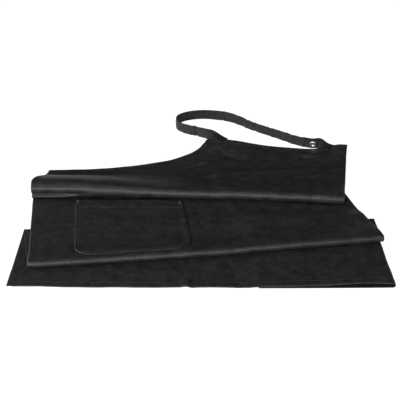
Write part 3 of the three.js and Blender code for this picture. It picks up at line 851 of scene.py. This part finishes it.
pocket_grid, pocket_uvs = [], []
for y_share in row_shares_up:
    left_x, right_x, left_y, right_y = pocket_span(y_share)
    line, uv_line = [], []
    for share in column_shares:
        x = mix(left_x, right_x, share)
        y = mix(left_y, right_y, x / POCKET_WIDTH)
        point, face = pocket_place(x, y)
        line.append(point + face * (POCKET_LIE + max(0, pocket_height(x, y))))
        uv_line.append((x + 1.3, y))
    pocket_grid.append(line)
    pocket_uvs.append(uv_line)
pocket = grid_piece("pocket", pocket_grid, pocket_uvs, POCKET_CLOTH)
pocket.data.materials.append(cloth_material)
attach(pocket, "root")
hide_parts("patch_pocket")


def on_pocket(x, y):
    point, face = pocket_place(x, y)
    return point + face * (POCKET_LIE + POCKET_CLOTH / 2 + max(0, pocket_height(x, y))), face


def pocket_outline_row(inset):
    """Places down the left side, along the bottom and up the right side, inset from the edge."""
    radius = POCKET_CORNER - inset
    places = []
    steps = round((POCKET_LEFT - POCKET_CORNER) / STITCH_STEP)
    for k in range(steps + 1):
        places.append((inset, mix(POCKET_LEFT - 0.001, POCKET_CORNER, k / steps)))
    for k in range(1, 41):
        angle = math.pi / 2 * k / 40
        x = POCKET_CORNER - radius * math.cos(angle)
        places.append((x, POCKET_CORNER - radius * math.sin(angle)))
    steps = round((POCKET_WIDTH - 2 * POCKET_CORNER) / STITCH_STEP)
    for k in range(1, steps + 1):
        places.append((mix(POCKET_CORNER, POCKET_WIDTH - POCKET_CORNER, k / steps), inset))
    for k in range(1, 41):
        angle = math.pi / 2 * k / 40
        x = POCKET_WIDTH - POCKET_CORNER + radius * math.sin(angle)
        places.append((x, POCKET_CORNER - radius * math.cos(angle)))
    steps = round((POCKET_RIGHT - POCKET_CORNER) / STITCH_STEP)
    for k in range(1, steps + 1):
        places.append((POCKET_WIDTH - inset, mix(POCKET_CORNER, POCKET_RIGHT - 0.001, k / steps)))
    return [on_pocket(x, y) for x, y in places]


bm = bmesh.new()
for inset in POCKET_STITCH_INSETS:
    sew(bm, pocket_outline_row(inset))
mouth_count = round(POCKET_WIDTH / STITCH_STEP)
mouth_row = []
for k in range(mouth_count + 1):
    x = mix(0.004, POCKET_WIDTH - 0.004, k / mouth_count)
    mouth_row.append(on_pocket(x, pocket_mouth(x) - POCKET_HEM + SEAM_INSET))
sew(bm, mouth_row)
for tack_x, mouth_y in ((TACK_INSET, POCKET_LEFT), (POCKET_WIDTH - TACK_INSET, POCKET_RIGHT)):
    for k in range(TACK_STITCHES):
        y = mouth_y - 0.0015 - TACK_STEP * k
        point, face = on_pocket(tack_x, y)
        along = (on_pocket(tack_x + TACK_WIDTH, y)[0] - point).normalized()
        add_stitch(bm, point + face * 0.0002, along, face, (0.0022, 0.0005, 0.0004), 0)
pocket_stitches = new_mesh_piece("pocket_stitches", bm)
pocket_stitches.data.materials.append(thread_material)
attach(pocket_stitches, "root")

# Neck strap: a 22 mm ribbed cotton tape, sewn to the bib's left corner, that stands on its edge
# in a loop behind the bib and ends in front of the tab, where a press stud closes it.
STRAP_WIDTH = 0.022
STRAP_THICKNESS = 0.0014
LOOP_REACH = 0.137
SEAM_GAP = 0.0003
SEWN_LENGTH = 0.014
STRAP_FREE_END = 0.944
TAB_OVERLAP = 0.032
SNAP_INSET = 0.009
TAPE_CUP = 0.0006
TAPE_RIPPLE = 0.0005
KINK_WIDTH = 0.0028
# Sewn ends: place across the panel as a share, turn in degrees from straight back, and the
# length in which the band turns upright in tape widths
SEWN_ENDS = ((0.548, 52, 1.9), (0.930, 48, 1.12))
# The loop's stops: across the bib as a share of BIB_WIDTH, behind it as a share of LOOP_REACH,
# lean in degrees, and lift off the surface as a share of STRAP_WIDTH
LOOP_ROUTE = [
    (0.058, 0.046, 0, 0.295),
    (-0.014, 0.112, 0, 0.341),
    (-0.113, 0.245, 2, 0.227),
    (-0.181, 0.345, 4, 0.114),
    (-0.226, 0.453, 4, 0.045),
    (-0.252, 0.579, 4, 0),
    (-0.249, 0.705, 4, 0),
    (-0.221, 0.806, 6, 0),
    (-0.17, 0.893, 4, 0),
    (-0.08, 0.96, 0, 0),
    (0.034, 0.954, 4, 0),
    (0.136, 0.895, 10, 0),
    (0.217, 0.787, 16, 0),
    (0.326, 0.575, 16, 0),
    (0.477, 0.36, 14, 0),
    (0.606, 0.169, 9, 0),
    (0.696, 0.083, 9, 0),
    (0.753, 0.047, 9, 0),
    (0.806, 0.019, 9, 0.073),
]


def sewn_frame(end):
    """Directions along the tape off the bib, across it and out of its face at a sewn end."""
    across, turn = end[:2]
    along = 1 - SEWN_LENGTH / 2 / layer_length(BIB_LAYER)
    edge = plain_point(BIB_LAYER, across + 0.02, along) - plain_point(BIB_LAYER, across - 0.02, along)
    back = plain_point(BIB_LAYER, across, 1) - plain_point(BIB_LAYER, across, along - 0.02)
    edge.normalize()
    face = edge.cross(back).normalized()
    back = face.cross(edge)
    angle = math.radians(turn)
    leaving = back * math.cos(angle) - edge * math.sin(angle)
    return leaving, leaving.cross(face), face


def sewn_points(end):
    """Middle of the tape from where it crosses the bib's edge to its cut end."""
    angle = math.radians(end[1])
    lift = sewn_frame(end)[2] * (CLOTH / 2 + SEAM_GAP * 2.5 + STRAP_THICKNESS / 2)
    made = []
    for stop in (0, 0.2, 0.5, 1):
        across = end[0] + stop * SEWN_LENGTH * math.sin(angle) / SHOWN_WIDTH
        along = 1 - stop * SEWN_LENGTH * math.cos(angle) / layer_length(BIB_LAYER)
        risen = sewn_frame(end)[2] * (STRAP_THICKNESS * (1 - stop) ** 2)
        made.append(plain_point(BIB_LAYER, across, along) + lift + risen)
    return made


def loop_stops():
    """Points that the middle of the band goes through, from one cut end to the other."""
    corner = line_point(BIB_TOP, BIB_CORNER)
    edge = (line_point(BIB_TOP, 1) - corner).normalized()
    back = Vector((-edge.y, edge.x, 0))
    stops = sewn_points(SEWN_ENDS[0])[::-1]
    for across, off, lean, lift in LOOP_ROUTE:
        point = corner + edge * (across * BIB_WIDTH) + back * (off * LOOP_REACH)
        tall = math.cos(math.radians(lean)) * STRAP_WIDTH
        point.z = STRAP_THICKNESS + lift * STRAP_WIDTH + tall / 2
        stops.append(point)
    return stops + sewn_points(SEWN_ENDS[1])


def loop_line():
    """Close points on a smooth curve through the stops, and the distance to each."""
    stops = loop_stops()
    stops = [stops[0] * 2 - stops[1]] + stops + [stops[-1] * 2 - stops[-2]]
    line = []
    for p0, p1, p2, p3 in zip(stops, stops[1:], stops[2:], stops[3:]):
        d0, d1, d2 = [(b - a).length ** 0.5 for a, b in ((p0, p1), (p1, p2), (p2, p3))]
        leave = ((p1 - p0) / d0 - (p2 - p0) / (d0 + d1) + (p2 - p1) / d1) * d1
        arrive = ((p2 - p1) / d1 - (p3 - p1) / (d1 + d2) + (p3 - p2) / d2) * d1
        for k in range(40):
            t = k / 40
            point = p1 * (2 * t**3 - 3 * t**2 + 1) + p2 * (3 * t**2 - 2 * t**3)
            line.append(point + leave * (t**3 - 2 * t**2 + t) + arrive * (t**3 - t**2))
    line.append(stops[-2])
    distances = [0.0]
    for a, b in zip(line, line[1:]):
        distances.append(distances[-1] + (b - a).length)
    return line, distances


loop_points, loop_distances = loop_line()
LOOP_LENGTH = loop_distances[-1]
strap_end = STRAP_FREE_END * LOOP_LENGTH
tab_start = strap_end - TAB_OVERLAP
snap_at = strap_end - SNAP_INSET


def loop_point(distance):
    distance = min(max(distance, 0), LOOP_LENGTH)
    low, high = 0, len(loop_distances) - 1
    while high - low > 1:
        middle = (low + high) // 2
        if loop_distances[middle] <= distance:
            low = middle
        else:
            high = middle
    part = (distance - loop_distances[low]) / (loop_distances[high] - loop_distances[low])
    return loop_points[low].lerp(loop_points[high], part)


def loop_lean(share):
    """Lean of the band in radians at a share of the loop."""
    place = clamp(share) * (len(LOOP_ROUTE) - 1)
    stop = min(int(place), len(LOOP_ROUTE) - 2)
    return math.radians(mix(LOOP_ROUTE[stop][2], LOOP_ROUTE[stop + 1][2], place - stop))


def loop_station(distance, forward=0.0):
    """Middle of the band, its direction upwards and its face at a distance along the loop."""
    centre = loop_point(distance)
    tangent = (loop_point(distance + 0.003) - loop_point(distance - 0.003)).normalized()
    from_end = min(distance, LOOP_LENGTH - distance)
    end = SEWN_ENDS[0] if distance < LOOP_LENGTH / 2 else SEWN_ENDS[1]
    upright = Vector((0, -math.sin(loop_lean(distance / LOOP_LENGTH)), 1)).normalized()
    turned = smooth((from_end - SEWN_LENGTH) / (end[2] * STRAP_WIDTH))
    wide = sewn_frame(end)[1].lerp(upright, turned)
    wide = (wide - tangent * wide.dot(tangent)).normalized()
    face = tangent.cross(wide).normalized()
    return centre + face * forward, wide, face


def strap_forward(distance):
    """How far the strap stands in front of the loop's line, where the tab is behind it."""
    return (STRAP_THICKNESS + SEAM_GAP) * smooth((distance - tab_start + TAB_OVERLAP) / TAB_OVERLAP)


BAND_ACROSS = [-0.5, -0.47, -0.40, -0.30, -0.18, -0.06, 0.06, 0.18, 0.30, 0.40, 0.47, 0.5]


def band_points(start, end, steps, forward, kinks):
    """Grid of a band from start to end along the loop, gently cupped and rippled."""
    points, uvs = [], []
    for share in BAND_ACROSS:
        line, uv_line = [], []
        for k in range(steps + 1):
            distance = mix(start, end, k / steps)
            centre, wide, face = loop_station(distance, forward(distance))
            lie = min(1.0, distance / 0.08, (LOOP_LENGTH - distance) / 0.10)
            cup = TAPE_CUP * (share * share * 4 - 0.4) * lie
            cup += TAPE_RIPPLE * noise.noise(Vector((distance / 0.022, share * 1.6, 2.0))) * lie
            for place, slant, height in kinks:
                cup += height * bump(distance - place - slant * share * STRAP_WIDTH, KINK_WIDTH)
            line.append(centre + wide * (share * STRAP_WIDTH) + face * cup)
            uv_line.append((distance, share * STRAP_WIDTH))
        points.append(line)
        uvs.append(uv_line)
    return points, uvs


def tape_material():
    """Ribbed cotton tape: lengthwise ribs, closely beaten threads across, painted shade in patches and
    grooves.
    """
    material, principled, start = shader("ribbed_tape")
    principled.inputs["Specular IOR Level"].default_value = 0.12
    uv = start.node("ShaderNodeUVMap", {"uv_map": "cloth"})
    split = start.node("ShaderNodeSeparateXYZ", inputs={0: uv})
    over = Wire(start.tree, split.socket.node.outputs[1])
    rib = start.math("SINE", over * 2900)
    pick = start.math("SINE", split * 7000)
    lint = start.node("ShaderNodeTexNoise", inputs={"Vector": uv, "Scale": 800.0, "Detail": 2.0})
    fade = start.node("ShaderNodeTexNoise", inputs={"Vector": uv, "Scale": 60.0, "Detail": 3.0})
    # Painted shade: the fade noise darkens random patches of the tape to stand in for shadow, and the
    # rib wave paints the grooves darker and the ridges lighter. Lint is the tape's own tone.
    shade = fade * 1.5 + lint * 0.4 + rib * 0.15 - 0.5
    dyed = start.node(
        "ShaderNodeMix",
        {"data_type": "RGBA"},
        {0: shade, 6: (0.0008, 0.0008, 0.0009, 1), 7: (0.0078, 0.0078, 0.0085, 1)},
        output=2,
    )
    plug(dyed, principled, "Base Color")
    plug(0.46 + lint * 0.18, principled, "Roughness")
    woven = start.node(
        "ShaderNodeBump",
        inputs={"Strength": 0.7, "Distance": 0.0003, "Height": rib + pick * 0.3 + lint * 0.5},
    )
    plug(woven, principled, "Normal")
    return material


webbing_material = tape_material()
# Kinks: distance along the strap, slant across it, and height out of its face
STRAP_KINKS = [
    (0.052, 0.3, 0.0012),
    (0.075, 0.2, 0.0030),
    (0.088, -0.2, -0.0012),
    (0.118, 0.1, 0.0008),
    (0.278, 0.2, -0.0016),
    (0.315, -0.1, 0.0016),
    (0.343, 0.2, 0.0018),
    (0.369, 0.1, -0.0015),
    (0.411, -0.2, 0.0016),
    (0.450, 0.1, -0.0016),
    (0.464, 0.0, 0.0016),
    (0.492, 0.2, 0.0012),
]
strap_grid, strap_uvs = band_points(0, strap_end, 260, strap_forward, STRAP_KINKS)
strap = grid_piece("neck_tape", strap_grid, strap_uvs, STRAP_THICKNESS)
strap.data.materials.append(webbing_material)
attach(strap, "root")
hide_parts("neck_strap")

# Strap tab: a short length of the same tape, sewn at a slant to the bib's right corner. It stands
# behind the strap's end, and the press stud goes through both.
tab_grid, tab_uvs = band_points(tab_start, LOOP_LENGTH, 60, lambda distance: 0.0, [])
tab = grid_piece("tape_tab", tab_grid, tab_uvs, STRAP_THICKNESS)
tab.data.materials.append(webbing_material)
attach(tab, "root")
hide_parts("strap_tab")


def band_row(start, end, share, forward, side=1):
    """Places along the tape at a share across it."""
    count = max(2, round(abs(end - start) / STITCH_STEP))
    made = []
    for k in range(count + 1):
        distance = mix(start, end, k / count)
        centre, wide, face = loop_station(distance, forward(distance))
        out = face * side
        point = centre + wide * (share * STRAP_WIDTH) + out * (STRAP_THICKNESS / 2 + 0.0001)
        made.append((point, out))
    return made


bm = bmesh.new()
for share in (-0.41, 0.41):
    sew(bm, band_row(0.002, SEWN_LENGTH, share, strap_forward, -1))
    tab_row = (LOOP_LENGTH - SEWN_LENGTH, LOOP_LENGTH - 0.002)
    sew(bm, band_row(*tab_row, share, lambda distance: 0.0, -1))
tape_stitches = new_mesh_piece("tape_stitches", bm)
tape_stitches.data.materials.append(thread_material)
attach(tape_stitches, "root")

# Press stud: a nickel-plated ring cap in front of the strap and a socket behind the tab, with the
# stud's post through both.
SNAP_RADIUS = 0.00625
SNAP_HEIGHT = 0.0022
SNAP_POST = 0.002
SOCKET_RADIUS = 0.0055
SOCKET_HEIGHT = 0.002
snap_centre, snap_wide, snap_face = loop_station(snap_at, strap_forward(snap_at))
snap_side = snap_wide.cross(snap_face)
snap_turn = Matrix((snap_side, snap_wide, snap_face)).transposed().to_4x4()
snap_place = Matrix.Translation(snap_centre + HEM_LINE) @ snap_turn
cap_bottom = STRAP_THICKNESS / 2 + SEAM_GAP * 1.5
socket_top = -STRAP_THICKNESS * 1.5 - SEAM_GAP * 3.5


def turned_piece(name, profile):
    """A profile of radius and height spun round the press stud's axis."""
    bm = bmesh.new()
    verts = [bm.verts.new((radius, 0, height)) for radius, height in profile]
    edges = [bm.edges.new(pair) for pair in zip(verts, verts[1:])]
    bmesh.ops.spin(
        bm, geom=verts + edges, cent=(0, 0, 0), axis=(0, 0, 1), angle=math.tau, steps=40, use_merge=True
    )
    bmesh.ops.remove_doubles(bm, verts=bm.verts, dist=1e-6)
    bmesh.ops.recalc_face_normals(bm, faces=bm.faces)
    bmesh.ops.transform(bm, matrix=snap_place, verts=bm.verts)
    return new_mesh_piece(name, bm)


nickel_material, nickel, start = shader("nickel_plate", Metallic=1.0)
scratches = start.node(
    "ShaderNodeTexNoise",
    inputs={"Vector": start.node("ShaderNodeTexCoord", output="Object"), "Scale": 900.0, "Detail": 3.0},
)
plated = start.node(
    "ShaderNodeMix",
    {"data_type": "RGBA"},
    {0: scratches, 6: (0.16, 0.158, 0.155, 1), 7: (0.30, 0.295, 0.285, 1)},
    output=2,
)
plug(plated, nickel, "Base Color")
plug(0.20 + scratches * 0.22, nickel, "Roughness")

cap = turned_piece(
    "stud_cap",
    [
        (0, socket_top - SOCKET_HEIGHT),
        (SNAP_POST * 0.8, socket_top - SOCKET_HEIGHT),
        (SNAP_POST, socket_top - SOCKET_HEIGHT * 0.8),
        (SNAP_POST, cap_bottom),
        (SNAP_RADIUS * 0.96, cap_bottom),
        (SNAP_RADIUS, cap_bottom + SNAP_HEIGHT * 0.12),
        (SNAP_RADIUS * 0.99, cap_bottom + SNAP_HEIGHT * 0.40),
        (SNAP_RADIUS * 0.93, cap_bottom + SNAP_HEIGHT * 0.72),
        (SNAP_RADIUS * 0.84, cap_bottom + SNAP_HEIGHT * 0.93),
        (SNAP_RADIUS * 0.74, cap_bottom + SNAP_HEIGHT),
        (SNAP_RADIUS * 0.64, cap_bottom + SNAP_HEIGHT * 0.95),
        (SNAP_RADIUS * 0.55, cap_bottom + SNAP_HEIGHT * 0.75),
        (SNAP_RADIUS * 0.48, cap_bottom + SNAP_HEIGHT * 0.45),
        (SNAP_RADIUS * 0.42, cap_bottom + SNAP_HEIGHT * 0.36),
        (SNAP_RADIUS * 0.20, cap_bottom + SNAP_HEIGHT * 0.32),
        (0, cap_bottom + SNAP_HEIGHT * 0.32),
    ],
)
socket = turned_piece(
    "stud_socket",
    [
        (SNAP_POST + SEAM_GAP, socket_top),
        (SNAP_POST + SEAM_GAP, socket_top - SOCKET_HEIGHT),
        (SOCKET_RADIUS * 0.66, socket_top - SOCKET_HEIGHT * 1.0),
        (SOCKET_RADIUS * 0.80, socket_top - SOCKET_HEIGHT * 0.94),
        (SOCKET_RADIUS * 0.93, socket_top - SOCKET_HEIGHT * 0.72),
        (SOCKET_RADIUS, socket_top - SOCKET_HEIGHT * 0.45),
        (SOCKET_RADIUS, socket_top - SOCKET_HEIGHT * 0.06),
        (SOCKET_RADIUS * 0.97, socket_top),
        (SNAP_POST + SEAM_GAP, socket_top),
    ],
)
for piece, node in ((cap, "snap_cap"), (socket, "snap_socket")):
    piece.data.materials.append(nickel_material)
    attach(piece, "root")
    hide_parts(node)

# Stage: a white floor that gives light of its own, a low soft light in front on each side, a weak
# one above and one at each end that draws bright edges.
floor_mesh = bmesh.new()
bmesh.ops.create_grid(floor_mesh, x_segments=1, y_segments=1, size=8)
floor = new_mesh_piece("floor", floor_mesh, smooth_faces=False)
floor_material, floor_shader, start = shader("white_floor", Roughness=0.9, Emission_Strength=0.95)
floor_shader.inputs["Base Color"].default_value = (0.12, 0.12, 0.12, 1)
floor_shader.inputs["Emission Color"].default_value = (1, 1, 1, 1)
floor_shader.inputs["Specular IOR Level"].default_value = 0
floor.data.materials.append(floor_material)

world = bpy.data.worlds.new("studio")
world.use_nodes = True
world.node_tree.nodes["Background"].inputs["Color"].default_value = (1, 1, 1, 1)
world.node_tree.nodes["Background"].inputs["Strength"].default_value = 0.05
bpy.context.scene.world = world


def soft_box(name, place, aim, width, height, power):
    """A rectangular soft light that faces a point on the apron."""
    light = bpy.data.lights.new(name, "AREA")
    light.shape = "RECTANGLE"
    light.size = width
    light.size_y = height
    light.energy = power
    lamp = bpy.data.objects.new(name, light)
    lamp.location = place
    lamp.rotation_euler = (Vector(aim) - Vector(place)).to_track_quat("-Z", "Y").to_euler()
    bpy.context.scene.collection.objects.link(lamp)


soft_box("front_left", (-1.2, -2.4, 0.8), (0, 0, 0), 1.2, 0.2, 170)
soft_box("front_right", (0.7, -2.5, 0.8), (0, 0, 0), 1.2, 0.2, 70)
soft_box("above", (-0.5, -0.6, 2.2), (0, 0, 0), 0.8, 0.5, 24)
soft_box("left_side", (-2.2, 0.3, 0.5), (0, 0.2, 0), 0.6, 0.5, 80)
soft_box("right_side", (2.2, 0.3, 0.5), (0, 0.1, 0), 0.6, 0.5, 22)
bpy.context.scene.view_settings.view_transform = "Standard"
